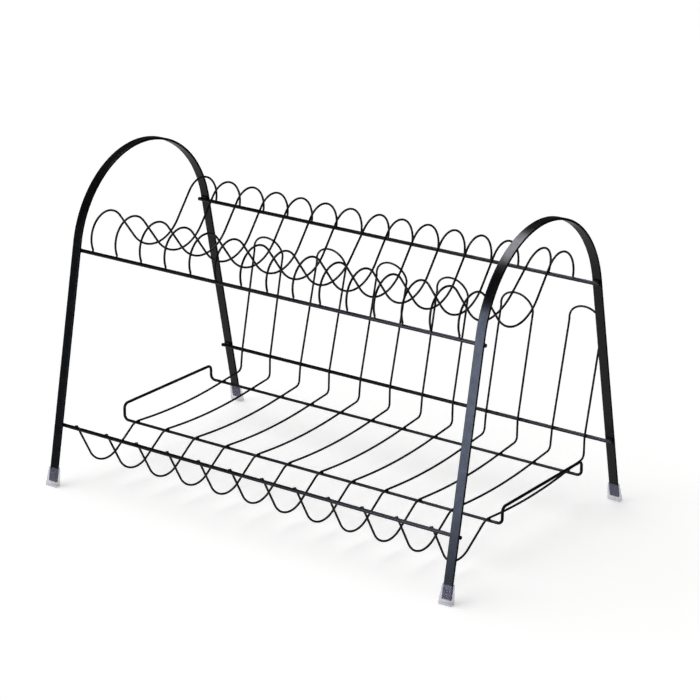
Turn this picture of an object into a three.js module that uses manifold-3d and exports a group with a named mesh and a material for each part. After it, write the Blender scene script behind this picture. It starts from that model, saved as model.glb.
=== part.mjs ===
// Two-tier wire dish drying rack: two bent flat-bar end frames, four round rods
// welded across them, an upper row of wave-shaped plate wires, a lower tray of
// looped wires on a perimeter wire, and a clear plastic cap on each foot.
// Millimetres, +Z up, X along the rack, -Y the front. z = 0 is the floor.

import * as THREE from 'three';
import { mergeVertices } from 'three/addons/utils/BufferGeometryUtils.js';
import Module from 'manifold-3d';

const wasm = await Module();
wasm.setup();

// ---------------------------------------------------------------- dimensions

const GAP = 0.3;                 // clearance at every welded or pushed-on contact
const CHORD = 0.3;               // facets stay this close to the true bends

// end frames: flat bar bent the easy way into a splayed arch
const FRAME_SPACING = 480;       // between the two frames' centre planes
const BAR_WIDTH = 9.8;           // along X
const BAR_THICK = 2.4;
const BAR_EDGE = 0.45;           // chamfer on the bar's long edges
const ARCH_RADIUS = 103.6;       // centreline
const ARCH_CENTRE_Z = 225.1;
const LEG_SPLAY = THREE.MathUtils.degToRad(11.55);
const LEG_END_Z = 5.2;           // the bar stops this far above the floor

// rods welded to the inner faces of the legs
const ROD_DIA = 3.8;
const ROD_LENGTH = 491.4;
const ROD_OFFSET = -0.8;         // the rods reach a little further past the left frame
const FRONT_HIGH_ROD_Z = 237.3;
const BACK_HIGH_ROD_Z = 242.1;
const FRONT_LOW_ROD_Z = 61.9;
const BACK_LOW_ROD_Z = 68.3;

// upper plate wires, one wave each: a hump, a valley and a hump
const WIRE_DIA = 2.2;
const PLATE_WIRES = 15;
const PLATE_PITCH = 31.25;
const PLATE_OFFSET = -3.5;       // the row sits a little left of centre
const PLATE_Y = -1.0;            // the valley sits a little in front of the middle
const HUMP_Y = 74.7;             // from the valley to each hump
const HUMP_Z = 248.6;            // centre of the hump's bend
const HUMP_RADIUS = 24.9;
const VALLEY_Z = 221.4;
const VALLEY_RADIUS = 44.4;
const BOW = 1.8;                 // the row's end wires stand this much above its middle one
// two of the wires are tipped along X behind their valley, by this many degrees
const LEANS = { 8: 4.5, 14: 10 };
const LEAN_START = 25;           // the tip comes in over this much of the wire's depth

// lower looped wires: two tray runs and two uprights joined by a rounded top
const LOOPS = 6;
const LOOP_PITCH = 39.3;         // between neighbouring runs
const LOOP_OFFSET = -0.9;
const PINCH = 0.7;               // each upright leans this far in towards its pair
const SKEW = 4.6;                // the front ends are welded this far to the left
const TROUGH_CORNER = [-100.2, 2.3];
const TROUGH_RADIUS = 26.5;
const CREST_RADIUS = 16;
const RISE_SLOPE = 0.765;        // slope of the run from the trough to the crest
const SAG_CORNER = [29.2, 35.8]; // the tray runs dip gently between the tray wires
const SAG_RADIUS = 640;
const REAR_CORNER = [129.3, 46.4];
const REAR_RADIUS = 6;
const UPRIGHT_LEANS = [12.4, 15.6, 15.0, 13.1, 12.6, 14.2];  // degrees, one per wire
const PASS_RADIUS = 20;          // where the upright turns back above the rod
const KINK_Z = 177.2;
const KINK_RADIUS = 7;
const TOP_HEIGHT = 17.8;         // of the rounded top, in its own leaning plane
const TOP_LEAN = THREE.MathUtils.degToRad(11.8);
const TOP_FACETS = 10;

// tray perimeter wire, its two ends raised
const TRAY_DIA = 3.0;
const TRAY_FRONT_Z = 39.0;
const TRAY_BACK_Z = 40.5;
const TRAY_END_Z = 56.2;
const TRAY_FRONT_Y = -42.5;
const TRAY_BACK_Y = 101;
const TRAY_LEFT_X = -235.8;
const TRAY_RIGHT_X = 229.8;
const TRAY_RADIUS = 5.2;
const SEAM = 0.2;                // between the wire's two ends, filled by the weld
const SEAM_WELD = 3;             // length of that weld
const SEAM_BEAD = 0.1;           // how far it stands out of the wire

// clear caps on the legs
const CAP_HEIGHT = 19;
const CAP_BASE = [15.2, 6.4];
const CAP_TOP = [12.2, 5.0];
const CAP_ROUND = 1.2;
const SOCKET_TOP = CAP_HEIGHT + 5; // the socket's cut runs out past the cap's top

// the origin lies on the floor under the middle of the rack's outline
const ORIGIN_Y = 3.5;

// ----------------------------------------------------------------- materials

const blackPaint = new THREE.MeshStandardMaterial({
  color: 0x141516, roughness: 0.38, metalness: 0.0,
});
const blackWire = new THREE.MeshStandardMaterial({
  color: 0x111213, roughness: 0.42, metalness: 0.0,
});
const clearPlastic = new THREE.MeshStandardMaterial({
  color: 0xdcdce6, roughness: 0.12, metalness: 0.0, transparent: true, opacity: 0.4,
});

// ------------------------------------------------------------------- helpers

// A run of wire or bar through given points. Each point is one section, so
// straight stretches stay single facets.
class Route extends THREE.Curve {
  constructor(points) {
    super();
    this.points = points;
  }

  getPoint(t) {
    const at = t * (this.points.length - 1);
    const i = Math.min(Math.floor(at + 1e-9), this.points.length - 2);
    return this.points[i].clone().lerp(this.points[i + 1], at - i);
  }

  getPointAt(u) {
    return this.getPoint(u);
  }

  getTangentAt(u) {
    const last = this.points.length - 1;
    const i = Math.round(u * last);
    const before = this.points[Math.max(i - 1, 0)];
    const here = this.points[i];
    const after = this.points[Math.min(i + 1, last)];
    const into = here.clone().sub(before).normalize();
    const out = after.clone().sub(here).normalize();
    return into.add(out).normalize();
  }
}

function sweep(points, section) {
  return new THREE.ExtrudeGeometry(section, {
    steps: points.length - 1,
    extrudePath: new Route(points),
    bevelEnabled: false,
  });
}

function roundSection(diameter, sides) {
  const points = [];
  for (let i = 0; i < sides; i += 1) {
    const a = ((i + 0.5) / sides) * 2 * Math.PI;
    points.push(new THREE.Vector2(Math.cos(a), Math.sin(a)).multiplyScalar(diameter / 2));
  }
  return new THREE.Shape(points);
}

function barSection(width, thick, edge) {
  const x = width / 2;
  const y = thick / 2;
  return new THREE.Shape([
    new THREE.Vector2(-x + edge, -y),
    new THREE.Vector2(x - edge, -y),
    new THREE.Vector2(x, -y + edge),
    new THREE.Vector2(x, y - edge),
    new THREE.Vector2(x - edge, y),
    new THREE.Vector2(-x + edge, y),
    new THREE.Vector2(-x, y - edge),
    new THREE.Vector2(-x, -y + edge),
  ]);
}

// The number of facets for a bend of a given radius and angle.
function facets(radius, angle) {
  const step = Math.min(THREE.MathUtils.degToRad(30), 2 * Math.acos(1 - CHORD / radius));
  return Math.max(1, Math.ceil(Math.abs(angle) / step));
}

// Points round each corner of a bent wire. A corner is { p, r }, r its bend radius.
function bend(corners) {
  const points = [];
  corners.forEach((corner, i) => {
    if (!corner.r) {
      points.push(corner.p.clone());
      return;
    }
    const back = corners[i - 1].p.clone().sub(corner.p).normalize();
    const on = corners[i + 1].p.clone().sub(corner.p).normalize();
    const inside = back.angleTo(on);
    const turn = Math.PI - inside;
    const centre = back.clone().add(on).normalize();
    centre.multiplyScalar(corner.r / Math.sin(inside / 2)).add(corner.p);
    const setback = corner.r / Math.tan(inside / 2);
    const from = back.clone().multiplyScalar(setback).add(corner.p).sub(centre);
    const axis = on.clone().cross(back).normalize();
    const n = facets(corner.r, turn);
    for (let k = 0; k <= n; k += 1) {
      points.push(from.clone().applyAxisAngle(axis, (turn * k) / n).add(centre));
    }
  });
  return points;
}

// Points of an arc in the Y-Z plane at a given X, angles from +Y towards +Z.
function arc(x, y, z, radius, start, end) {
  const n = facets(radius, end - start);
  const points = [];
  for (let k = 0; k <= n; k += 1) {
    const a = start + ((end - start) * k) / n;
    points.push(new THREE.Vector3(x, y + radius * Math.cos(a), z + radius * Math.sin(a)));
  }
  return points;
}

function toSolid(geometry) {
  const plain = geometry.clone();
  plain.deleteAttribute('normal');
  plain.deleteAttribute('uv');
  const merged = mergeVertices(plain, 1e-4);
  return new wasm.Manifold(new wasm.Mesh({
    numProp: 3,
    vertProperties: new Float32Array(merged.attributes.position.array),
    triVerts: new Uint32Array(merged.index.array),
  }));
}

function toGeometry(solid) {
  const mesh = solid.getMesh();
  const geometry = new THREE.BufferGeometry();
  geometry.setAttribute('position', new THREE.BufferAttribute(mesh.vertProperties, 3));
  geometry.setIndex(new THREE.BufferAttribute(mesh.triVerts, 1));
  geometry.computeVertexNormals();
  return geometry;
}

const rack = new THREE.Group();
rack.name = 'dish_drying_rack';
rack.position.y = -ORIGIN_Y;

function add(name, geometry, material) {
  const mesh = new THREE.Mesh(geometry, material);
  mesh.name = name;
  rack.add(mesh);
  return mesh;
}

// ---------------------------------------------------------------- end frames

// Distance from the middle of the rack to the leg's centreline at height z.
function legY(z) {
  const tangentZ = ARCH_CENTRE_Z + ARCH_RADIUS * Math.sin(LEG_SPLAY);
  return ARCH_RADIUS * Math.cos(LEG_SPLAY) + (tangentZ - z) * Math.tan(LEG_SPLAY);
}

function endFrame(x) {
  const top = arc(x, 0, ARCH_CENTRE_Z, ARCH_RADIUS, Math.PI - LEG_SPLAY, LEG_SPLAY);
  const points = [
    new THREE.Vector3(x, -legY(LEG_END_Z), LEG_END_Z),
    ...top,
    new THREE.Vector3(x, legY(LEG_END_Z), LEG_END_Z),
  ];
  return sweep(points, barSection(BAR_WIDTH, BAR_THICK, BAR_EDGE));
}

add('end_frame_left', endFrame(-FRAME_SPACING / 2), blackPaint);
add('end_frame_right', endFrame(FRAME_SPACING / 2), blackPaint);

// ---------------------------------------------------------------------- rods

// A rod lies against the inner face of the legs, its axis this far from the middle.
function rodY(z) {
  return legY(z) - (BAR_THICK / 2 + GAP + ROD_DIA / 2) / Math.cos(LEG_SPLAY);
}

function rod() {
  const geometry = new THREE.CylinderGeometry(ROD_DIA / 2, ROD_DIA / 2, ROD_LENGTH, 12);
  geometry.rotateZ(Math.PI / 2);
  return geometry;
}

const RODS = {
  upper_rod_front: [-rodY(FRONT_HIGH_ROD_Z), FRONT_HIGH_ROD_Z],
  upper_rod_back: [rodY(BACK_HIGH_ROD_Z), BACK_HIGH_ROD_Z],
  lower_rod_front: [-rodY(FRONT_LOW_ROD_Z), FRONT_LOW_ROD_Z],
  lower_rod_back: [rodY(BACK_LOW_ROD_Z), BACK_LOW_ROD_Z],
};
for (const [name, [y, z]] of Object.entries(RODS)) {
  add(name, rod(), blackPaint).position.set(ROD_OFFSET, y, z);
}

// --------------------------------------------------------------- plate wires

// How far a point of a tipped wire has moved along X.
function tipped(p, lean) {
  const share = THREE.MathUtils.smoothstep(p.y - PLATE_Y, 0, LEAN_START);
  return share * (p.z - VALLEY_Z) * Math.tan(THREE.MathUtils.degToRad(lean));
}

function plateWire(x, lift, lean) {
  // slope of the straight that joins the hump's bend to the valley's
  const valleyCentre = VALLEY_Z + VALLEY_RADIUS;
  const across = Math.hypot(HUMP_Y, HUMP_Z - valleyCentre);
  const slope = Math.asin((HUMP_RADIUS + VALLEY_RADIUS) / across)
    + Math.atan2(HUMP_Z - valleyCentre, HUMP_Y);
  const touch = Math.PI / 2 + slope;
  // each hump stops where its end face meets the top of the rod
  const end = (rodZ) => Math.asin(
    (rodZ + ROD_DIA / 2 + GAP - lift - HUMP_Z) / (HUMP_RADIUS + WIRE_DIA / 2),
  );
  const half = (rodZ) => [
    ...arc(x, 0, valleyCentre, VALLEY_RADIUS, -Math.PI / 2, slope - Math.PI / 2),
    ...arc(x, HUMP_Y, HUMP_Z, HUMP_RADIUS, touch, end(rodZ)),
  ];
  const front = half(FRONT_HIGH_ROD_Z).slice(1).reverse();
  for (const p of front) {
    p.y = -p.y;
  }
  const points = [...front, ...half(BACK_HIGH_ROD_Z)];
  for (const p of points) {
    p.y += PLATE_Y;
    p.x += tipped(p, lean);
    p.z += lift;
  }
  return sweep(points, roundSection(WIRE_DIA, 8));
}

for (let i = 1; i <= PLATE_WIRES; i += 1) {
  const step = i - (PLATE_WIRES + 1) / 2;
  const lift = BOW * (2 * step / (PLATE_WIRES - 1)) ** 2;
  const name = `plate_wire_${String(i).padStart(2, '0')}`;
  add(name, plateWire(PLATE_OFFSET + step * PLATE_PITCH, lift, LEANS[i] ?? 0), blackWire);
}

// ------------------------------------------------------------ tray perimeter

function trayLoop() {
  const at = (x, y, z, r) => ({ p: new THREE.Vector3(x, y, z), r });
  const r = TRAY_RADIUS;
  const corners = [
    at(0, TRAY_BACK_Y, TRAY_BACK_Z, 0),
    at(TRAY_RIGHT_X, TRAY_BACK_Y, TRAY_BACK_Z, r),
    at(TRAY_RIGHT_X, TRAY_BACK_Y, TRAY_END_Z, r),
    at(TRAY_RIGHT_X, TRAY_FRONT_Y, TRAY_END_Z, r),
    at(TRAY_RIGHT_X, TRAY_FRONT_Y, TRAY_FRONT_Z, r),
    at(TRAY_LEFT_X, TRAY_FRONT_Y, TRAY_FRONT_Z, r),
    at(TRAY_LEFT_X, TRAY_FRONT_Y, TRAY_END_Z, r),
    at(TRAY_LEFT_X, TRAY_BACK_Y, TRAY_END_Z, r),
    at(TRAY_LEFT_X, TRAY_BACK_Y, TRAY_BACK_Z, r),
    at(-SEAM, TRAY_BACK_Y, TRAY_BACK_Z, 0),
  ];
  const wire = sweep(bend(corners), roundSection(TRAY_DIA, 10));
  // the ends are butt-welded at the middle of the back run
  const bead = TRAY_DIA / 2 + SEAM_BEAD;
  const weld = new THREE.CylinderGeometry(bead, bead, SEAM_WELD, 12);
  weld.rotateZ(Math.PI / 2);
  weld.translate(-SEAM / 2, TRAY_BACK_Y, TRAY_BACK_Z);
  return toGeometry(toSolid(wire).add(toSolid(weld)));
}

add('tray_perimeter_wire', trayLoop(), blackWire);

// -------------------------------------------------------------- looped wires

// How far a point of a looped wire lies to the left, from the front tray wire forward.
function skewed(p) {
  const forward = (TRAY_FRONT_Y - p.y) / (TRAY_FRONT_Y - RODS.lower_rod_front[0]);
  return SKEW * THREE.MathUtils.clamp(forward, 0, 1);
}

function loopWire(left, right, lean) {
  const at = (y, z, r, inset = 0) => ({ p: new THREE.Vector3(left + inset, y, z), r });
  const touch = ROD_DIA / 2 + WIRE_DIA / 2 + GAP;
  const trayTop = TRAY_FRONT_Z + TRAY_DIA / 2 + WIRE_DIA / 2 + GAP;

  // the end rests against the inner side of the front rod
  const [frontY, frontZ] = RODS.lower_rod_front;
  const [troughY, troughZ] = TROUGH_CORNER;
  const down = new THREE.Vector2(troughY - frontY, troughZ - frontZ);
  const fall = down.angle() - Math.asin(touch / down.length());
  const endY = frontY - touch * Math.sin(fall);
  const endZ = frontZ + touch * Math.cos(fall);

  // the run rises to a crest over the front tray wire, dips and meets the back one
  const [sagY, sagZ] = SAG_CORNER;
  const dip = (trayTop - sagZ) / (sagY - TRAY_FRONT_Y);
  const crestY = (sagZ + dip * sagY - troughZ + RISE_SLOPE * troughY) / (RISE_SLOPE + dip);
  const crestZ = troughZ + RISE_SLOPE * (crestY - troughY);

  // the upright passes in front of the back rod and leans back above it
  const [backY, backZ] = RODS.lower_rod_back;
  const passY = backY - touch / Math.cos(lean * 0.75);
  const kinkY = passY + (KINK_Z - backZ) * Math.tan(lean);

  const side = [
    at(endY, endZ, 0),
    at(troughY, troughZ, TROUGH_RADIUS),
    at(crestY, crestZ, CREST_RADIUS),
    at(sagY, sagZ, SAG_RADIUS),
    at(REAR_CORNER[0], REAR_CORNER[1], REAR_RADIUS),
    at(passY, backZ, PASS_RADIUS, PINCH),
    at(kinkY, KINK_Z, KINK_RADIUS, PINCH),
  ];
  // the rounded top leans forward again
  const half = (right - left) / 2 - PINCH;
  const middle = (left + right) / 2;
  const top = [];
  for (let k = 1; k < TOP_FACETS; k += 1) {
    const a = Math.PI - (k / TOP_FACETS) * Math.PI;
    const rise = TOP_HEIGHT * Math.sin(a);
    const p = new THREE.Vector3(
      middle + half * Math.cos(a),
      kinkY - rise * Math.sin(TOP_LEAN),
      KINK_Z + rise * Math.cos(TOP_LEAN),
    );
    top.push({ p, r: 0 });
  }
  const mirror = ({ p, r }) => ({ p: new THREE.Vector3(left + right - p.x, p.y, p.z), r });
  const corners = [...side, ...top, ...side.map(mirror).reverse()];
  const points = bend(corners);
  for (const p of points) {
    p.x -= skewed(p);
  }
  return sweep(points, roundSection(WIRE_DIA, 8));
}

for (let i = 1; i <= LOOPS; i += 1) {
  const left = LOOP_OFFSET + (2 * (i - 1) + 0.5 - LOOPS) * LOOP_PITCH;
  const lean = THREE.MathUtils.degToRad(UPRIGHT_LEANS[i - 1]);
  add(`loop_wire_${i}`, loopWire(left, left + LOOP_PITCH, lean), blackWire);
}

// ---------------------------------------------------------------------- caps

// A flared cap round the end of a leg, flat on the floor, with a socket for the bar.
function footCap(x, side) {
  const [baseX, baseY] = CAP_BASE;
  const outline = new THREE.Shape();
  const u = baseX / 2;
  const v = baseY / 2;
  const r = CAP_ROUND;
  outline.moveTo(-u + r, -v);
  outline.lineTo(u - r, -v);
  outline.absarc(u - r, -v + r, r, -Math.PI / 2, 0);
  outline.absarc(u - r, v - r, r, 0, Math.PI / 2);
  outline.absarc(-u + r, v - r, r, Math.PI / 2, Math.PI);
  outline.absarc(-u + r, -v + r, r, Math.PI, 1.5 * Math.PI);
  const cap = new THREE.ExtrudeGeometry(outline, {
    depth: CAP_HEIGHT, bevelEnabled: false, curveSegments: 3,
  });
  // taper towards the top and follow the leg's slant
  const position = cap.attributes.position;
  for (let i = 0; i < position.count; i += 1) {
    const z = position.getZ(i);
    const t = z / CAP_HEIGHT;
    const px = position.getX(i) * THREE.MathUtils.lerp(1, CAP_TOP[0] / baseX, t);
    const py = position.getY(i) * THREE.MathUtils.lerp(1, CAP_TOP[1] / baseY, t);
    position.setXYZ(i, x + px, side * legY(z) + py, z);
  }
  const socketBase = LEG_END_Z - GAP - BAR_THICK * 0.5 * Math.sin(LEG_SPLAY);
  const socket = sweep([
    new THREE.Vector3(x, side * legY(socketBase), socketBase),
    new THREE.Vector3(x, side * legY(SOCKET_TOP), SOCKET_TOP),
  ], barSection(BAR_WIDTH + 2 * GAP, BAR_THICK + 2 * GAP, BAR_EDGE));
  return toGeometry(toSolid(cap).subtract(toSolid(socket)));
}

for (const [end, x] of [['left', -FRAME_SPACING / 2], ['right', FRAME_SPACING / 2]]) {
  for (const [face, side] of [['front', -1], ['back', 1]]) {
    add(`foot_cap_${end}_${face}`, footCap(x, side), clearPlastic);
  }
}

export default rack;
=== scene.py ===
"""Looks of the two-tier wire dish drying rack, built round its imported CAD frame.

Every bent wire, rod and flat bar is swept again along the CAD part's own route, round and with
soft edges, and stands for its CAD node. The welds and the clear caps' thin walls are added here.
Metres, +Z up, X along the rack, -Y the front, z = 0 the floor.
"""

import math
import random

import bpy
from mathutils import Matrix, Quaternion, Vector

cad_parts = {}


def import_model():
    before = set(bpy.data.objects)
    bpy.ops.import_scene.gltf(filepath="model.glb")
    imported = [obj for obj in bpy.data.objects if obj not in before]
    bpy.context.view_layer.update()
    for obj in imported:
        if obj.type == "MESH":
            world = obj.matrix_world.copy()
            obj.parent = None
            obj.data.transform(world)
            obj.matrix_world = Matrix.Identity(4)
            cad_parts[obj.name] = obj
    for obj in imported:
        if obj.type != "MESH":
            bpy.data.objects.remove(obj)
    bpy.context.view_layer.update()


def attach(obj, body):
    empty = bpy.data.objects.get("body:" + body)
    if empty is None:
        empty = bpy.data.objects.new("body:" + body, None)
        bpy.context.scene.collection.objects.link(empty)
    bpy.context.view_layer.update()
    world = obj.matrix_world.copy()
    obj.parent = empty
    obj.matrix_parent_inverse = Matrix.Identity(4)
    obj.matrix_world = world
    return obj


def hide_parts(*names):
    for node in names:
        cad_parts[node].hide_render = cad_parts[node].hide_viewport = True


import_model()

MM = 0.001
BODY = "root"

# ------------------------------------------------------- the CAD part's dimensions

GAP = 0.3 * MM

FRAME_SPACING = 480 * MM
BAR_WIDTH = 9.8 * MM
BAR_THICK = 2.4 * MM
ARCH_RADIUS = 103.6 * MM
ARCH_CENTRE_Z = 225.1 * MM
LEG_SPLAY = math.radians(11.55)
LEG_END_Z = 5.2 * MM

ROD_DIA = 3.8 * MM
ROD_LENGTH = 491.4 * MM
ROD_OFFSET = -0.8 * MM
FRONT_HIGH_ROD_Z = 237.3 * MM
BACK_HIGH_ROD_Z = 242.1 * MM
FRONT_LOW_ROD_Z = 61.9 * MM
BACK_LOW_ROD_Z = 68.3 * MM

WIRE_DIA = 2.2 * MM
PLATE_WIRES = 15
PLATE_PITCH = 31.25 * MM
PLATE_OFFSET = -3.5 * MM
PLATE_Y = -1.0 * MM
HUMP_Y = 74.7 * MM
HUMP_Z = 248.6 * MM
HUMP_RADIUS = 24.9 * MM
VALLEY_Z = 221.4 * MM
VALLEY_RADIUS = 44.4 * MM
BOW = 1.8 * MM
LEANS = {8: 4.5, 14: 10}
LEAN_START = 25 * MM

LOOPS = 6
LOOP_PITCH = 39.3 * MM
LOOP_OFFSET = -0.9 * MM
PINCH = 0.7 * MM
SKEW = 4.6 * MM
TROUGH_CORNER = (-100.2 * MM, 2.3 * MM)
TROUGH_RADIUS = 26.5 * MM
CREST_RADIUS = 16 * MM
RISE_SLOPE = 0.765
SAG_CORNER = (29.2 * MM, 35.8 * MM)
SAG_RADIUS = 640 * MM
REAR_CORNER = (129.3 * MM, 46.4 * MM)
REAR_RADIUS = 6 * MM
UPRIGHT_LEANS = (12.4, 15.6, 15.0, 13.1, 12.6, 14.2)
PASS_RADIUS = 20 * MM
KINK_Z = 177.2 * MM
KINK_RADIUS = 7 * MM
TOP_HEIGHT = 17.8 * MM
TOP_LEAN = math.radians(11.8)

TRAY_DIA = 3.0 * MM
TRAY_FRONT_Z = 39.0 * MM
TRAY_BACK_Z = 40.5 * MM
TRAY_END_Z = 56.2 * MM
TRAY_FRONT_Y = -42.5 * MM
TRAY_BACK_Y = 101 * MM
TRAY_LEFT_X = -235.8 * MM
TRAY_RIGHT_X = 229.8 * MM
TRAY_RADIUS = 5.2 * MM
SEAM = 0.2 * MM

CAP_HEIGHT = 19 * MM
CAP_BASE = (15.2 * MM, 6.4 * MM)
CAP_TOP = (12.2 * MM, 5.0 * MM)
CAP_ROUND = 1.2 * MM

# the origin lies under the middle of the outline, this far behind the arches' middle
ORIGIN_Y = 3.5 * MM

# ------------------------------------------------------------- finish, Blender only

X_WAY = Vector((1, 0, 0))
CHORD = 0.01 * MM          # how close the swept facets stay to the true bends
LONGEST_FACE = 8 * MM      # along a bar or wire; longer narrow faces shade unevenly
WIRE_SIDES = 20
ROD_SIDES = 32
START_SIDE = Vector((0.2, 0.3, 1))  # never along the start of any wire
WIRE_END = 0.35 * MM       # rounding of a wire's cut end
BAR_EDGE = 0.42 * MM       # rolled edge of the flat bar
CAP_SOFT = 1.0 * MM        # rounding of a cap's bottom edge
CAP_RIM = 0.45 * MM        # and of its rim
CAP_LIP = 0.3 * MM         # how much wider its socket opens at the very top
WELD_SEED = 7

WIRE_R = WIRE_DIA / 2
ROD_R = ROD_DIA / 2
TRAY_R = TRAY_DIA / 2


# --------------------------------------------------------------------- mesh makers

def piece(name, verts, faces, material, slot, flat=()):
    """A mesh object in the row frame that rides on the rack; faces in flat stay flat."""
    shift = Vector((0, -ORIGIN_Y, 0))
    mesh = bpy.data.meshes.new(name)
    mesh.from_pydata([Vector(v) + shift for v in verts], [], faces)
    mesh.validate()
    mesh.update()
    for polygon in mesh.polygons:
        polygon.use_smooth = polygon.index not in flat
    mesh.materials.append(material)
    obj = bpy.data.objects.new(name, mesh)
    bpy.context.scene.collection.objects.link(obj)
    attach(obj, BODY)
    return obj


def facets(radius, angle):
    """How many facets a bend takes to stay within CHORD of the true arc."""
    step = min(math.radians(9), 2 * math.acos(1 - CHORD / radius))
    return max(2, math.ceil(abs(angle) / step))


def arc(x, y, z, radius, start, end):
    """Points of an arc in the Y-Z plane at a given X, angles from +Y towards +Z."""
    n = facets(radius, end - start)
    angles = [start + (end - start) * k / n for k in range(n + 1)]
    return [Vector((x, y + radius * math.cos(a), z + radius * math.sin(a))) for a in angles]


def bend(corners):
    """Points round each corner of a bent wire. A corner is (point, bend radius)."""
    points = []
    for i, (p, r) in enumerate(corners):
        if not r:
            points.append(p.copy())
            continue
        back = (corners[i - 1][0] - p).normalized()
        on = (corners[i + 1][0] - p).normalized()
        inside = back.angle(on)
        turn = math.pi - inside
        centre = p + (back + on).normalized() * (r / math.sin(inside / 2))
        start = p + back * (r / math.tan(inside / 2)) - centre
        axis = on.cross(back).normalized()
        n = facets(r, turn)
        for k in range(n + 1):
            points.append(centre + Quaternion(axis, turn * k / n) @ start)
    return points


def tangents(points):
    """The direction of the path at each of its points."""
    ways = [(b - a).normalized() for a, b in zip(points, points[1:])]
    middle = [(into + out).normalized() for into, out in zip(ways, ways[1:])]
    return [ways[0], *middle, ways[-1]]


def spaced(points):
    """The same path with more points, so that no stretch is longer than LONGEST_FACE."""
    path = [points[0]]
    for a, b in zip(points, points[1:]):
        n = max(1, math.ceil((b - a).length / LONGEST_FACE))
        path += [a.lerp(b, k / n) for k in range(1, n + 1)]
    return path


def soft_ends(points, radius, edge):
    """The wire's points with a few more at each end, and each point's scale, so that its
    cut ends are rounded by edge."""
    steps = 5
    first = (points[1] - points[0]).normalized()
    last = (points[-1] - points[-2]).normalized()
    head, tail, scales = [], [], []
    for k in range(steps + 1):
        a = math.pi / 2 * k / steps
        inset = edge * (1 - math.cos(a))
        head.append(points[0] + first * inset)
        tail.append(points[-1] - last * inset)
        scales.append((radius - edge + edge * math.sin(a)) / radius)
    inner = points[1:-1]
    return head + inner + tail[::-1], scales + [1.0] * len(inner) + scales[::-1]


def skin(rings):
    """Verts, faces and the two end faces' indices of a closed skin through equal rings."""
    n = len(rings[0])
    faces = []
    for i in range(len(rings) - 1):
        a, b = i * n, (i + 1) * n
        for k in range(n):
            m = (k + 1) % n
            faces.append((a + k, a + m, b + m, b + k))
    last = (len(rings) - 1) * n
    faces += [tuple(reversed(range(n))), tuple(range(last, last + n))]
    return [v for ring in rings for v in ring], faces, (len(faces) - 2, len(faces) - 1)


def sweep(points, section, across, scales=None):
    """The skin of a section carried along the points. The section's first axis starts along
    across and is carried without twist."""
    ways = tangents(points)
    scales = scales or [1.0] * len(points)
    side = (across - ways[0] * across.dot(ways[0])).normalized()
    rings = []
    for i, (p, t) in enumerate(zip(points, ways)):
        if i:
            side = ways[i - 1].rotation_difference(t) @ side
            side = (side - t * side.dot(t)).normalized()
        up = t.cross(side)
        rings.append([p + (side * u + up * v) * scales[i] for u, v in section])
    return skin(rings)


def joined(parts):
    """Verts and faces of several meshes as one. A part is (verts, faces)."""
    verts, faces = [], []
    for more_verts, more_faces in parts:
        base = len(verts)
        verts += more_verts
        faces += [tuple(base + i for i in face) for face in more_faces]
    return verts, faces


def round_section(radius, sides):
    turns = [2 * math.pi * (k + 0.5) / sides for k in range(sides)]
    return [(radius * math.cos(a), radius * math.sin(a)) for a in turns]


def rounded_rectangle(width, thick, radius, steps=6, support=0.12 * MM):
    """Outline with rounded corners, and a point on each flat just inside every corner."""
    u, v = width / 2 - radius, thick / 2 - radius
    outline = []
    for quarter, (su, sv) in enumerate(((1, 1), (-1, 1), (-1, -1), (1, -1))):
        start = quarter * math.pi / 2
        way = Vector((-math.sin(start), math.cos(start)))
        corner = Vector((su * u, sv * v))
        out = Vector((math.cos(start), math.sin(start)))
        outline.append(corner + out * radius - way * support)
        for k in range(steps + 1):
            a = start + math.pi / 2 * k / steps
            outline.append(corner + Vector((math.cos(a), math.sin(a))) * radius)
        a = start + math.pi / 2
        way = Vector((-math.sin(a), math.cos(a)))
        outline.append(corner + Vector((math.cos(a), math.sin(a))) * radius + way * support)
    return [tuple(p) for p in outline]


# ----------------------------------------------------------------------- materials

def new_material(name):
    material = bpy.data.materials.new(name)
    material.use_nodes = True
    tree = material.node_tree
    shader = tree.nodes["Principled BSDF"]
    return material, tree, shader


def noise(tree, scale, detail=3.0, roughness=0.55):
    coords = tree.nodes.new("ShaderNodeTexCoord")
    texture = tree.nodes.new("ShaderNodeTexNoise")
    texture.inputs["Scale"].default_value = scale
    texture.inputs["Detail"].default_value = detail
    texture.inputs["Roughness"].default_value = roughness
    tree.links.new(coords.outputs["Object"], texture.inputs["Vector"])
    return texture.outputs["Fac"]


def ramp(tree, value, stops):
    node = tree.nodes.new("ShaderNodeValToRGB")
    elements = node.color_ramp.elements
    while len(elements) < len(stops):
        elements.new(0.5)
    for element, (at, colour) in zip(elements, stops):
        element.position = at
        element.color = (*colour, 1)
    tree.links.new(value, node.inputs["Fac"])
    return node.outputs["Color"]


def spread(tree, value, low, high):
    """The middle of a noise's range, 0.3 to 0.7, mapped to low to high."""
    node = tree.nodes.new("ShaderNodeMapRange")
    node.inputs["From Min"].default_value = 0.3
    node.inputs["From Max"].default_value = 0.7
    node.inputs["To Min"].default_value = low
    node.inputs["To Max"].default_value = high
    tree.links.new(value, node.inputs["Value"])
    return node.outputs["Result"]


def bump(tree, height, distance, strength, onto=None):
    node = tree.nodes.new("ShaderNodeBump")
    node.inputs["Distance"].default_value = distance
    node.inputs["Strength"].default_value = strength
    tree.links.new(height, node.inputs["Height"])
    if onto:
        tree.links.new(onto, node.inputs["Normal"])
    return node.outputs["Normal"]


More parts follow.
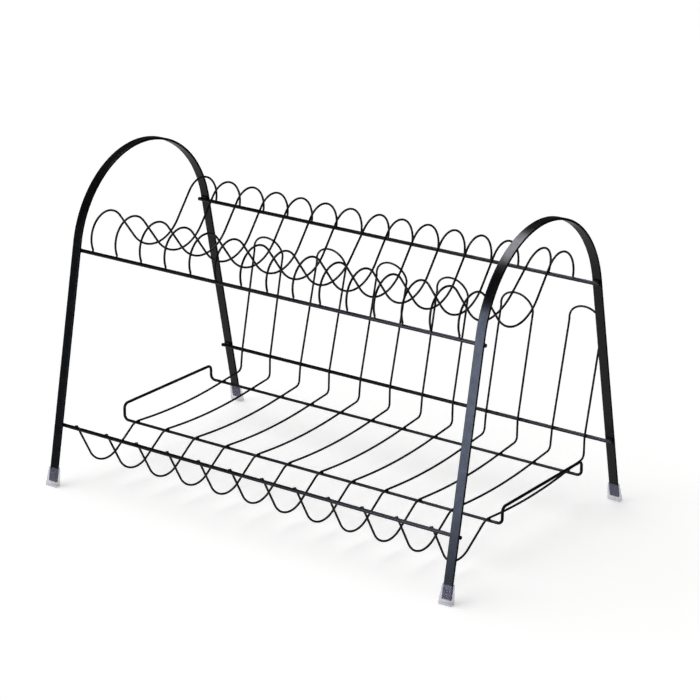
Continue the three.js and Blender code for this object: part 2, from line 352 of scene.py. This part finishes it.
def black_paint(name, dark, light, rough, grain):
    """Dipped black enamel: faint cloudy tone, slow change in gloss and a fine orange peel."""
    material, tree, shader = new_material(name)
    cloud = noise(tree, 55, detail=4)
    tree.links.new(ramp(tree, cloud, [(0.35, dark), (0.7, light)]), shader.inputs["Base Color"])
    sheen = noise(tree, 140, detail=5, roughness=0.65)
    tree.links.new(spread(tree, sheen, *rough), shader.inputs["Roughness"])
    peel = noise(tree, 1400, detail=2)
    sag = noise(tree, 160, detail=2)
    first = bump(tree, sag, 0.25 * MM, grain * 0.5)
    tree.links.new(bump(tree, peel, 0.06 * MM, grain, first), shader.inputs["Normal"])
    shader.inputs["IOR"].default_value = 1.5
    shader.inputs["Specular IOR Level"].default_value = 0.5
    return material


def clear_plastic():
    """Soft clear vinyl, faintly lilac and hazy, with moulding ripples."""
    material, tree, shader = new_material("clear_cap_plastic")
    tone = noise(tree, 260, detail=3)
    tint = ramp(tree, tone, [(0.35, CAP_DARK), (0.7, CAP_LIGHT)])
    tree.links.new(tint, shader.inputs["Base Color"])
    haze = noise(tree, 200, detail=2)
    tree.links.new(spread(tree, haze, 0.05, 0.12), shader.inputs["Roughness"])
    ripple = noise(tree, 160, detail=0)
    tree.links.new(bump(tree, ripple, 0.2 * MM, 0.08), shader.inputs["Normal"])
    shader.inputs["IOR"].default_value = 1.46
    shader.inputs["Alpha"].default_value = CAP_ALPHA
    return material


CAP_DARK = (0.27, 0.265, 0.39)
CAP_LIGHT = (0.35, 0.34, 0.48)
CAP_ALPHA = 0.28

FRAME_PAINT = black_paint(
    "frame_black_paint", (0.0018, 0.0019, 0.0022), (0.0040, 0.0042, 0.0050), (0.20, 0.30), 0.14)
WIRE_PAINT = black_paint(
    "wire_black_paint", (0.0030, 0.0031, 0.0034), (0.0065, 0.0066, 0.0070), (0.28, 0.42), 0.25)
WELD_PAINT = black_paint(
    "weld_black_paint", (0.0025, 0.0026, 0.0028), (0.0055, 0.0055, 0.0060), (0.32, 0.50), 0.45)
CAP_PLASTIC = clear_plastic()


# ---------------------------------------------------------------------- end frames

def leg_y(z):
    """Distance from the arches' middle to the leg's centreline at height z."""
    tangent_z = ARCH_CENTRE_Z + ARCH_RADIUS * math.sin(LEG_SPLAY)
    return ARCH_RADIUS * math.cos(LEG_SPLAY) + (tangent_z - z) * math.tan(LEG_SPLAY)


def end_frame(end, x):
    """A flat bar bent into an arch with two splayed legs."""
    top = arc(x, 0, ARCH_CENTRE_Z, ARCH_RADIUS, math.pi - LEG_SPLAY, LEG_SPLAY)
    foot = Vector((x, leg_y(LEG_END_Z), LEG_END_Z))
    points = spaced([Vector((x, -foot.y, foot.z)), *top, foot])
    section = rounded_rectangle(BAR_WIDTH, BAR_THICK, BAR_EDGE)
    verts, faces, ends = sweep(points, section, X_WAY)
    bar = piece(f"end_bar_{end}", verts, faces, FRAME_PAINT, "frame_paint", ends)
    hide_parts(f"end_frame_{end}")


ENDS = (("left", -FRAME_SPACING / 2), ("right", FRAME_SPACING / 2))
for end, x in ENDS:
    end_frame(end, x)


# ---------------------------------------------------------------------------- rods

def rod_y(z):
    return leg_y(z) - (BAR_THICK / 2 + GAP + ROD_R) / math.cos(LEG_SPLAY)


RODS = {
    "upper_rod_front": (-rod_y(FRONT_HIGH_ROD_Z), FRONT_HIGH_ROD_Z),
    "upper_rod_back": (rod_y(BACK_HIGH_ROD_Z), BACK_HIGH_ROD_Z),
    "lower_rod_front": (-rod_y(FRONT_LOW_ROD_Z), FRONT_LOW_ROD_Z),
    "lower_rod_back": (rod_y(BACK_LOW_ROD_Z), BACK_LOW_ROD_Z),
}


def wire(name, node, points, radius, material, slot, sides=WIRE_SIDES):
    """A round wire with softened cut ends, standing for a CAD node."""
    path, scales = soft_ends(spaced(points), radius, WIRE_END)
    verts, faces, ends = sweep(path, round_section(radius, sides), START_SIDE, scales)
    made = piece(name, verts, faces, material, slot, ends)
    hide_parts(node)


def rod(node, y, z):
    half = Vector((ROD_LENGTH / 2, 0, 0))
    middle = Vector((ROD_OFFSET, y, z))
    path = [middle - half, middle + half]
    wire(f"round_{node}", node, path, ROD_R, FRAME_PAINT, "frame_paint", ROD_SIDES)


for node, (y, z) in RODS.items():
    rod(node, y, z)


# --------------------------------------------------------------------- plate wires

def smoothstep(x, low, high):
    t = min(max((x - low) / (high - low), 0.0), 1.0)
    return t * t * (3 - 2 * t)


def plate_path(x, lift, lean):
    """One wave: the front hump, the valley and the rear hump, tipped by lean degrees."""
    valley_centre = VALLEY_Z + VALLEY_RADIUS
    across = math.hypot(HUMP_Y, HUMP_Z - valley_centre)
    slope = math.asin((HUMP_RADIUS + VALLEY_RADIUS) / across)
    slope += math.atan2(HUMP_Z - valley_centre, HUMP_Y)

    def half(rod_z):
        # the hump stops where its end face meets the top of the rod
        drop = rod_z + ROD_R + GAP - lift - HUMP_Z
        end = math.asin(drop / (HUMP_RADIUS + WIRE_R))
        valley = arc(x, 0, valley_centre, VALLEY_RADIUS, -math.pi / 2, slope - math.pi / 2)
        hump = arc(x, HUMP_Y, HUMP_Z, HUMP_RADIUS, math.pi / 2 + slope, end)
        # the straight between the bends has points too, so that a tipped wire curves smoothly
        straight = [valley[-1].lerp(hump[0], k / 12) for k in range(1, 12)]
        return valley + straight + hump

    front = [Vector((p.x, -p.y, p.z)) for p in reversed(half(FRONT_HIGH_ROD_Z)[1:])]
    points = front + half(BACK_HIGH_ROD_Z)
    for p in points:
        share = smoothstep(p.y, 0, LEAN_START)
        p.x += share * (p.z - VALLEY_Z) * math.tan(math.radians(lean))
        p.y += PLATE_Y
        p.z += lift
    return points


plate_paths = []
for i in range(1, PLATE_WIRES + 1):
    step = i - (PLATE_WIRES + 1) / 2
    lift = BOW * (2 * step / (PLATE_WIRES - 1)) ** 2
    plate_paths.append(plate_path(PLATE_OFFSET + step * PLATE_PITCH, lift, LEANS.get(i, 0)))
for i, points in enumerate(plate_paths, start=1):
    node = f"plate_wire_{i:02d}"
    wire(f"round_{node}", node, points, WIRE_R, WIRE_PAINT, "wire_paint")


# ------------------------------------------------------------------ tray perimeter

def tray_perimeter():
    r = TRAY_RADIUS
    corners = [
        (Vector((0, TRAY_BACK_Y, TRAY_BACK_Z)), 0),
        (Vector((TRAY_RIGHT_X, TRAY_BACK_Y, TRAY_BACK_Z)), r),
        (Vector((TRAY_RIGHT_X, TRAY_BACK_Y, TRAY_END_Z)), r),
        (Vector((TRAY_RIGHT_X, TRAY_FRONT_Y, TRAY_END_Z)), r),
        (Vector((TRAY_RIGHT_X, TRAY_FRONT_Y, TRAY_FRONT_Z)), r),
        (Vector((TRAY_LEFT_X, TRAY_FRONT_Y, TRAY_FRONT_Z)), r),
        (Vector((TRAY_LEFT_X, TRAY_FRONT_Y, TRAY_END_Z)), r),
        (Vector((TRAY_LEFT_X, TRAY_BACK_Y, TRAY_END_Z)), r),
        (Vector((TRAY_LEFT_X, TRAY_BACK_Y, TRAY_BACK_Z)), r),
        (Vector((-SEAM, TRAY_BACK_Y, TRAY_BACK_Z)), 0),
    ]
    section = round_section(TRAY_R, WIRE_SIDES)
    verts, faces, ends = sweep(spaced(bend(corners)), section, START_SIDE)
    loop = piece("round_tray_wire", verts, faces, WIRE_PAINT, "wire_paint", ends)
    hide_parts("tray_perimeter_wire")


tray_perimeter()


# -------------------------------------------------------------------- looped wires

TOUCH = ROD_R + WIRE_R + GAP
TRAY_TOP = TRAY_FRONT_Z + TRAY_R + WIRE_R + GAP


def loop_side(lean):
    """The corners of one run and upright as (y, z, bend radius, inset), from the front rod."""
    front_y, front_z = RODS["lower_rod_front"]
    trough_y, trough_z = TROUGH_CORNER
    down = Vector((trough_y - front_y, trough_z - front_z))
    fall = math.atan2(down.y, down.x) - math.asin(TOUCH / down.length)
    end_y = front_y - TOUCH * math.sin(fall)
    end_z = front_z + TOUCH * math.cos(fall)

    sag_y, sag_z = SAG_CORNER
    dip = (TRAY_TOP - sag_z) / (sag_y - TRAY_FRONT_Y)
    crest_y = (sag_z + dip * sag_y - trough_z + RISE_SLOPE * trough_y) / (RISE_SLOPE + dip)
    crest_z = trough_z + RISE_SLOPE * (crest_y - trough_y)

    back_y, back_z = RODS["lower_rod_back"]
    pass_y = back_y - TOUCH / math.cos(lean * 0.75)
    kink_y = pass_y + (KINK_Z - back_z) * math.tan(lean)
    return [
        (end_y, end_z, 0, 0),
        (trough_y, trough_z, TROUGH_RADIUS, 0),
        (crest_y, crest_z, CREST_RADIUS, 0),
        (sag_y, sag_z, SAG_RADIUS, 0),
        (*REAR_CORNER, REAR_RADIUS, 0),
        (pass_y, back_z, PASS_RADIUS, PINCH),
        (kink_y, KINK_Z, KINK_RADIUS, PINCH),
    ]


def loop_path(left, right, lean):
    """Both runs and uprights of one wire, joined by its rounded top."""
    side = loop_side(lean)
    kink_y = side[-1][0]
    middle, half = (left + right) / 2, (right - left) / 2 - PINCH
    top = []
    rows = 60
    for k in range(2, rows - 1):
        a = math.pi * (1 - k / rows)
        rise = TOP_HEIGHT * math.sin(a)
        y = kink_y - rise * math.sin(TOP_LEAN)
        z = KINK_Z + rise * math.cos(TOP_LEAN)
        top.append((Vector((middle + half * math.cos(a), y, z)), 0))
    going = [(Vector((left + inset, y, z)), r) for y, z, r, inset in side]
    coming = [(Vector((right - inset, y, z)), r) for y, z, r, inset in reversed(side)]
    points = bend(going + top + coming)
    # the front ends are welded a little to the left
    reach = TRAY_FRONT_Y - RODS["lower_rod_front"][0]
    for p in points:
        p.x -= SKEW * min(max((TRAY_FRONT_Y - p.y) / reach, 0), 1)
    return points


loop_lefts = [LOOP_OFFSET + (2 * i + 0.5 - LOOPS) * LOOP_PITCH for i in range(LOOPS)]
loop_paths = [loop_path(left, left + LOOP_PITCH, math.radians(lean))
              for left, lean in zip(loop_lefts, UPRIGHT_LEANS)]
for i, points in enumerate(loop_paths, start=1):
    node = f"loop_wire_{i}"
    wire(f"round_{node}", node, points, WIRE_R, WIRE_PAINT, "wire_paint")


# --------------------------------------------------------------------------- welds

dice = random.Random(WELD_SEED)


def blob(centre, axes, wobble):
    """Verts and faces of a lumpy ellipsoid with the given half-axes."""
    rings, turns = 10, 16
    phases = [dice.uniform(0, 2 * math.pi) for _ in range(4)]
    verts = []
    for i in range(1, rings):
        lat = math.pi * i / rings
        for k in range(turns):
            lon = 2 * math.pi * k / turns
            lump = math.sin(3 * lon + phases[0]) * math.sin(2 * lat + phases[1])
            lump += 0.6 * math.sin(5 * lon + phases[2]) * math.sin(4 * lat + phases[3])
            size = 1 + wobble * lump * math.sin(lat)
            u = math.cos(lat) * size
            v = math.sin(lat) * math.cos(lon) * size
            w = math.sin(lat) * math.sin(lon) * size
            verts.append(centre + axes[0] * u + axes[1] * v + axes[2] * w)
    top = len(verts)
    verts += [centre + axes[0], centre - axes[0]]
    faces = [(top, k, (k + 1) % turns) for k in range(turns)]
    for i in range(rings - 2):
        a, b = i * turns, (i + 1) * turns
        for k in range(turns):
            m = (k + 1) % turns
            faces.append((a + k, b + k, b + m, a + m))
    last = (rings - 2) * turns
    faces += [(top + 1, last + (k + 1) % turns, last + k) for k in range(turns)]
    return verts, faces


def weld_group(name, blobs):
    """One piece of several blobs, each given as (centre, axes, wobble)."""
    verts, faces = joined([blob(*each) for each in blobs])
    piece(name, verts, faces, WELD_PAINT, "wire_paint")


def nugget(wire_at, wire_way, other_at, size):
    """A resistance weld where a thin wire touches a rod, size (along, beside, through) in
    wire radii."""
    normal = (other_at - wire_at).normalized()
    centre = wire_at + normal * (WIRE_R + GAP / 2)
    grow = dice.uniform(0.92, 1.12) * WIRE_R
    along = wire_way * (size[0] * grow)
    beside = normal.cross(wire_way).normalized() * (size[1] * grow)
    through = normal * (size[2] * grow)
    return centre, (along, beside, through), 0.10


def nearest(points, y, z):
    """The point of a path nearest to (y, z) seen along X, and the path's direction there."""
    best = None
    for a, b in zip(points, points[1:]):
        flat = Vector((b.y - a.y, b.z - a.z))
        if flat.length < 0.001 * MM:
            continue
        t = Vector((y - a.y, z - a.z)).dot(flat) / flat.length_squared
        p = a.lerp(b, min(max(t, 0.0), 1.0))
        gap = math.hypot(p.y - y, p.z - z)
        if best is None or gap < best[0]:
            best = (gap, p, (b - a).normalized())
    return best[1:]


def crossing_welds(name, paths, y, z, size):
    blobs = []
    for points in paths:
        at, way = nearest(points, y, z)
        blobs.append(nugget(at, way, Vector((at.x, y, z)), size))
    weld_group(name, blobs)


def halves(paths):
    """Each path cut in two at its middle."""
    first = [points[: len(points) // 2] for points in paths]
    second = [points[len(points) // 2:] for points in paths]
    return first, second


BUTT = (0.7, 1.25, 1.25)    # a wire's end on top of a rod
CROSSING = (1.5, 1.1, 0.8)  # a wire laid across a rod
TAIL = (0.9, 1.9, 1.3)      # a wire's end against the side of a rod

plate_fronts, plate_backs = halves(plate_paths)
crossing_welds("welds_upper_front", plate_fronts, *RODS["upper_rod_front"], BUTT)
crossing_welds("welds_upper_back", plate_backs, *RODS["upper_rod_back"], BUTT)
loop_left_sides, loop_right_sides = halves(loop_paths)
run_paths = loop_left_sides + loop_right_sides
crossing_welds("welds_lower_front", run_paths, *RODS["lower_rod_front"], TAIL)
crossing_welds("welds_lower_back", run_paths, *RODS["lower_rod_back"], CROSSING)
crossing_welds("welds_tray_front", run_paths, TRAY_FRONT_Y, TRAY_FRONT_Z, CROSSING)
crossing_welds("welds_tray_back", run_paths, TRAY_BACK_Y, TRAY_BACK_Z, CROSSING)


def seam_weld():
    """The upset bead where the tray wire's two ends meet."""
    centre = Vector((-SEAM / 2, TRAY_BACK_Y, TRAY_BACK_Z))
    size = TRAY_R + 0.28 * MM
    axes = (X_WAY * 1.6 * MM, Vector((0, size, 0)), Vector((0, 0, size)))
    weld_group("weld_tray_seam", [(centre, axes, 0.05)])


seam_weld()


def bead(start, stop, radius, lumps):
    """Verts and faces of a rippled bead of weld metal laid from start to stop."""
    steps, sides = 28, 14
    way = (stop - start).normalized()
    side = way.orthogonal().normalized()
    up = way.cross(side)
    phase = dice.uniform(0, 2 * math.pi)
    rings = []
    for i in range(steps + 1):
        t = i / steps
        swell = math.sqrt(max(0.0, 1 - (2 * t - 1) ** 4))
        ripple = 1 + 0.07 * math.sin(lumps * 2 * math.pi * t + phase)
        r = radius * max(0.12, swell) * ripple
        p = start.lerp(stop, t)
        turns = [2 * math.pi * k / sides for k in range(sides)]
        rings.append([p + side * (r * math.cos(a)) + up * (r * math.sin(a)) for a in turns])
    return skin(rings)[:2]


def leg_welds():
    """A bead above and a smaller one below each rod, across the inner face of each leg."""
    half = X_WAY * (BAR_WIDTH * 0.44)
    for end, x in ENDS:
        beads = []
        for y, z in RODS.values():
            side = math.copysign(1, y)
            leg_way = Vector((0, side * math.sin(LEG_SPLAY), -math.cos(LEG_SPLAY)))
            inward = Vector((0, -side * math.cos(LEG_SPLAY), -math.sin(LEG_SPLAY)))
            face_at = Vector((x, y, z)) - inward * (ROD_R + GAP)
            for shift, radius in ((-1, 1.5 * MM), (1, 1.0 * MM)):
                away = shift * (ROD_R * 0.62 + radius * 0.55)
                at = face_at + leg_way * away + inward * radius * 0.35
                beads.append(bead(at - half, at + half, radius, 5))
        piece(f"welds_frame_{end}", *joined(beads), WELD_PAINT, "frame_paint")


leg_welds()


# ---------------------------------------------------------------------------- caps

def cap_ring(x, side, z, width, depth, radius):
    """A level rounded rectangle round the leg's centreline at height z."""
    outline = rounded_rectangle(width, depth, radius, steps=8, support=0.1 * MM)
    return [Vector((x + u, side * leg_y(z) + v, z)) for u, v in outline]


def foot_cap(end, x, face, side):
    """A thin-walled clear cap: a flared outer skin, a rolled rim, and the socket inside."""
    rings = []

    def outer(z, inset=0.0):
        t = z / CAP_HEIGHT
        width = CAP_BASE[0] + (CAP_TOP[0] - CAP_BASE[0]) * t - 2 * inset
        depth = CAP_BASE[1] + (CAP_TOP[1] - CAP_BASE[1]) * t - 2 * inset
        return cap_ring(x, side, z, width, depth, max(0.3 * MM, CAP_ROUND - inset))

    # bottom edge, wall, rolled rim
    quarter = [math.pi / 2 * k / 5 for k in range(6)]
    rings += [outer(CAP_SOFT * (1 - math.cos(a)), CAP_SOFT * (1 - math.sin(a))) for a in quarter]
    steps = 10
    wall = CAP_HEIGHT - CAP_RIM - CAP_SOFT
    rings += [outer(CAP_SOFT + wall * k / steps) for k in range(1, steps + 1)]
    for a in quarter[1:]:
        rings.append(outer(CAP_HEIGHT - CAP_RIM * (1 - math.sin(a)), CAP_RIM * (1 - math.cos(a))))
    # socket, just clear of the bar
    width, depth = BAR_WIDTH + 2 * GAP, (BAR_THICK + 2 * GAP) / math.cos(LEG_SPLAY)
    floor_z = LEG_END_Z - GAP - BAR_THICK * 0.5 * math.sin(LEG_SPLAY)
    mouth = (width + CAP_LIP, depth + CAP_LIP)
    rings.append(cap_ring(x, side, CAP_HEIGHT, *mouth, 0.6 * MM))
    top_z = CAP_HEIGHT - CAP_LIP
    for k in range(steps + 1):
        z = top_z + (floor_z - top_z) * k / steps
        rings.append(cap_ring(x, side, z, width, depth, 0.5 * MM))
    verts, faces, ends = skin(rings)
    cap = piece(f"clear_cap_{end}_{face}", verts, faces, CAP_PLASTIC, "clear_cap", ends)
    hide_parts(f"foot_cap_{end}_{face}")


for end, x in ENDS:
    for face, side in (("front", -1), ("back", 1)):
        foot_cap(end, x, face, side)


# ------------------------------------------------------------ floor, light, camera

FLOOR_COLOUR = (0.84, 0.835, 0.83)
FLOOR_GLOW = 0.43
SIDE_LIGHT = 0.03          # the studio's radiance level with the rack and above it
BELOW_LIGHT = 0.42         # and below it, where the floor would be mirrored
BRIGHT_WAY = (-0.5, 0, -1)  # where the studio is brightest: below and to the left
FADE = (0.35, 0.75)        # its light comes in between these dot products with that way

SUN_POWER = 2.4
SUN_SPREAD = 60            # degrees
SUN_AZIMUTH, SUN_ELEVATION = -70, 62

# soft boxes that only show as reflections: name, place, what it faces, size, watts, colour
CARDS = (
    ("low_card", (-0.44, -1.29, 0.41), (0.26, -0.13, 0.35), (0.42, 0.88), 6.4, (0.64, 0.74, 1.0)),
    ("high_box", (-0.37, 0.18, 1.36), (0.24, -0.06, 0.31), (0.76, 0.38), 5.8, (0.93, 0.91, 1.0)),
)

CAMERA_AT = (1.46616, -2.00118 - ORIGIN_Y, 1.04277)
CAMERA_AZIMUTH, CAMERA_ELEVATION, CAMERA_ROLL = 35.817, 19.736, 0.059
CAMERA_LENS = 137.13


def floor():
    half = 12.0
    mesh = bpy.data.meshes.new("studio_floor")
    corners = [(-half, -half, 0), (half, -half, 0), (half, half, 0), (-half, half, 0)]
    mesh.from_pydata(corners, [], [(0, 1, 2, 3)])
    obj = bpy.data.objects.new("studio_floor", mesh)
    bpy.context.scene.collection.objects.link(obj)
    material, tree, shader = new_material("studio_floor")
    shader.inputs["Base Color"].default_value = (*FLOOR_COLOUR, 1)
    shader.inputs["Roughness"].default_value = 0.9
    shader.inputs["Specular IOR Level"].default_value = 0.1
    shader.inputs["Emission Color"].default_value = (1, 1, 1, 1)
    shader.inputs["Emission Strength"].default_value = FLOOR_GLOW
    mesh.materials.append(material)
    obj.visible_glossy = False


def card(name, at, towards, size, power, colour):
    data = bpy.data.lights.new(name, "AREA")
    data.shape = "RECTANGLE"
    data.size, data.size_y = size
    data.energy = power
    data.color = colour
    obj = bpy.data.objects.new(name, data)
    obj.location = at
    obj.rotation_mode = "QUATERNION"
    obj.rotation_quaternion = (Vector(towards) - Vector(at)).to_track_quat("-Z", "Y")
    obj.visible_camera = False
    obj.visible_diffuse = False
    bpy.context.scene.collection.objects.link(obj)


def sun():
    """A very soft distant light. Its azimuth is 0 in front of the rack and 90 to the right."""
    data = bpy.data.lights.new("soft_sun", "SUN")
    data.energy = SUN_POWER
    data.angle = math.radians(SUN_SPREAD)
    a, e = math.radians(SUN_AZIMUTH), math.radians(SUN_ELEVATION)
    source = Vector((math.sin(a) * math.cos(e), -math.cos(a) * math.cos(e), math.sin(e)))
    obj = bpy.data.objects.new("soft_sun", data)
    obj.rotation_mode = "QUATERNION"
    obj.rotation_quaternion = source.to_track_quat("Z", "Y")
    obj.visible_glossy = False
    bpy.context.scene.collection.objects.link(obj)


def world():
    scene_world = bpy.data.worlds.new("studio")
    bpy.context.scene.world = scene_world
    scene_world.use_nodes = True
    tree = scene_world.node_tree
    background = tree.nodes["Background"]
    background.inputs["Color"].default_value = (1, 1, 1, 1)
    # dim at the sides and above, brighter below, where the floor would be mirrored
    coords = tree.nodes.new("ShaderNodeTexCoord")
    facing = tree.nodes.new("ShaderNodeVectorMath")
    facing.operation = "DOT_PRODUCT"
    facing.inputs[1].default_value = BRIGHT_WAY
    fade = tree.nodes.new("ShaderNodeMapRange")
    fade.inputs["From Min"].default_value, fade.inputs["From Max"].default_value = FADE
    fade.inputs["To Min"].default_value = SIDE_LIGHT
    fade.inputs["To Max"].default_value = BELOW_LIGHT
    tree.links.new(coords.outputs["Generated"], facing.inputs[0])
    tree.links.new(facing.outputs["Value"], fade.inputs["Value"])
    tree.links.new(fade.outputs["Result"], background.inputs["Strength"])
    # straight views past the floor's edge see the same white as the floor
    seen = tree.nodes.new("ShaderNodeBackground")
    seen.inputs["Strength"].default_value = 1.0
    path = tree.nodes.new("ShaderNodeLightPath")
    mix = tree.nodes.new("ShaderNodeMixShader")
    tree.links.new(path.outputs["Is Camera Ray"], mix.inputs[0])
    tree.links.new(background.outputs[0], mix.inputs[1])
    tree.links.new(seen.outputs[0], mix.inputs[2])
    tree.links.new(mix.outputs[0], tree.nodes["World Output"].inputs["Surface"])


def camera():
    """A long lens, level, from the front right and a little above."""
    angles = (CAMERA_AZIMUTH, CAMERA_ELEVATION, CAMERA_ROLL)
    azimuth, elevation, roll = (math.radians(a) for a in angles)
    back = Vector((math.sin(azimuth) * math.cos(elevation),
                   -math.cos(azimuth) * math.cos(elevation), math.sin(elevation)))
    right = Vector((math.cos(azimuth), math.sin(azimuth), 0))
    up = back.cross(right)
    tilted_right = right * math.cos(roll) + up * math.sin(roll)
    tilted_up = up * math.cos(roll) - right * math.sin(roll)
    data = bpy.data.cameras.new("camera")
    data.sensor_width = 36
    data.lens = CAMERA_LENS
    data.clip_start, data.clip_end = 0.05, 60
    obj = bpy.data.objects.new("camera", data)
    turn = Matrix((tilted_right, tilted_up, back)).transposed().to_4x4()
    obj.matrix_world = Matrix.Translation(CAMERA_AT) @ turn
    bpy.context.scene.collection.objects.link(obj)
    bpy.context.scene.camera = obj


floor()
world()
sun()
for each in CARDS:
    card(*each)
camera()
bpy.context.scene.view_settings.view_transform = "Standard"
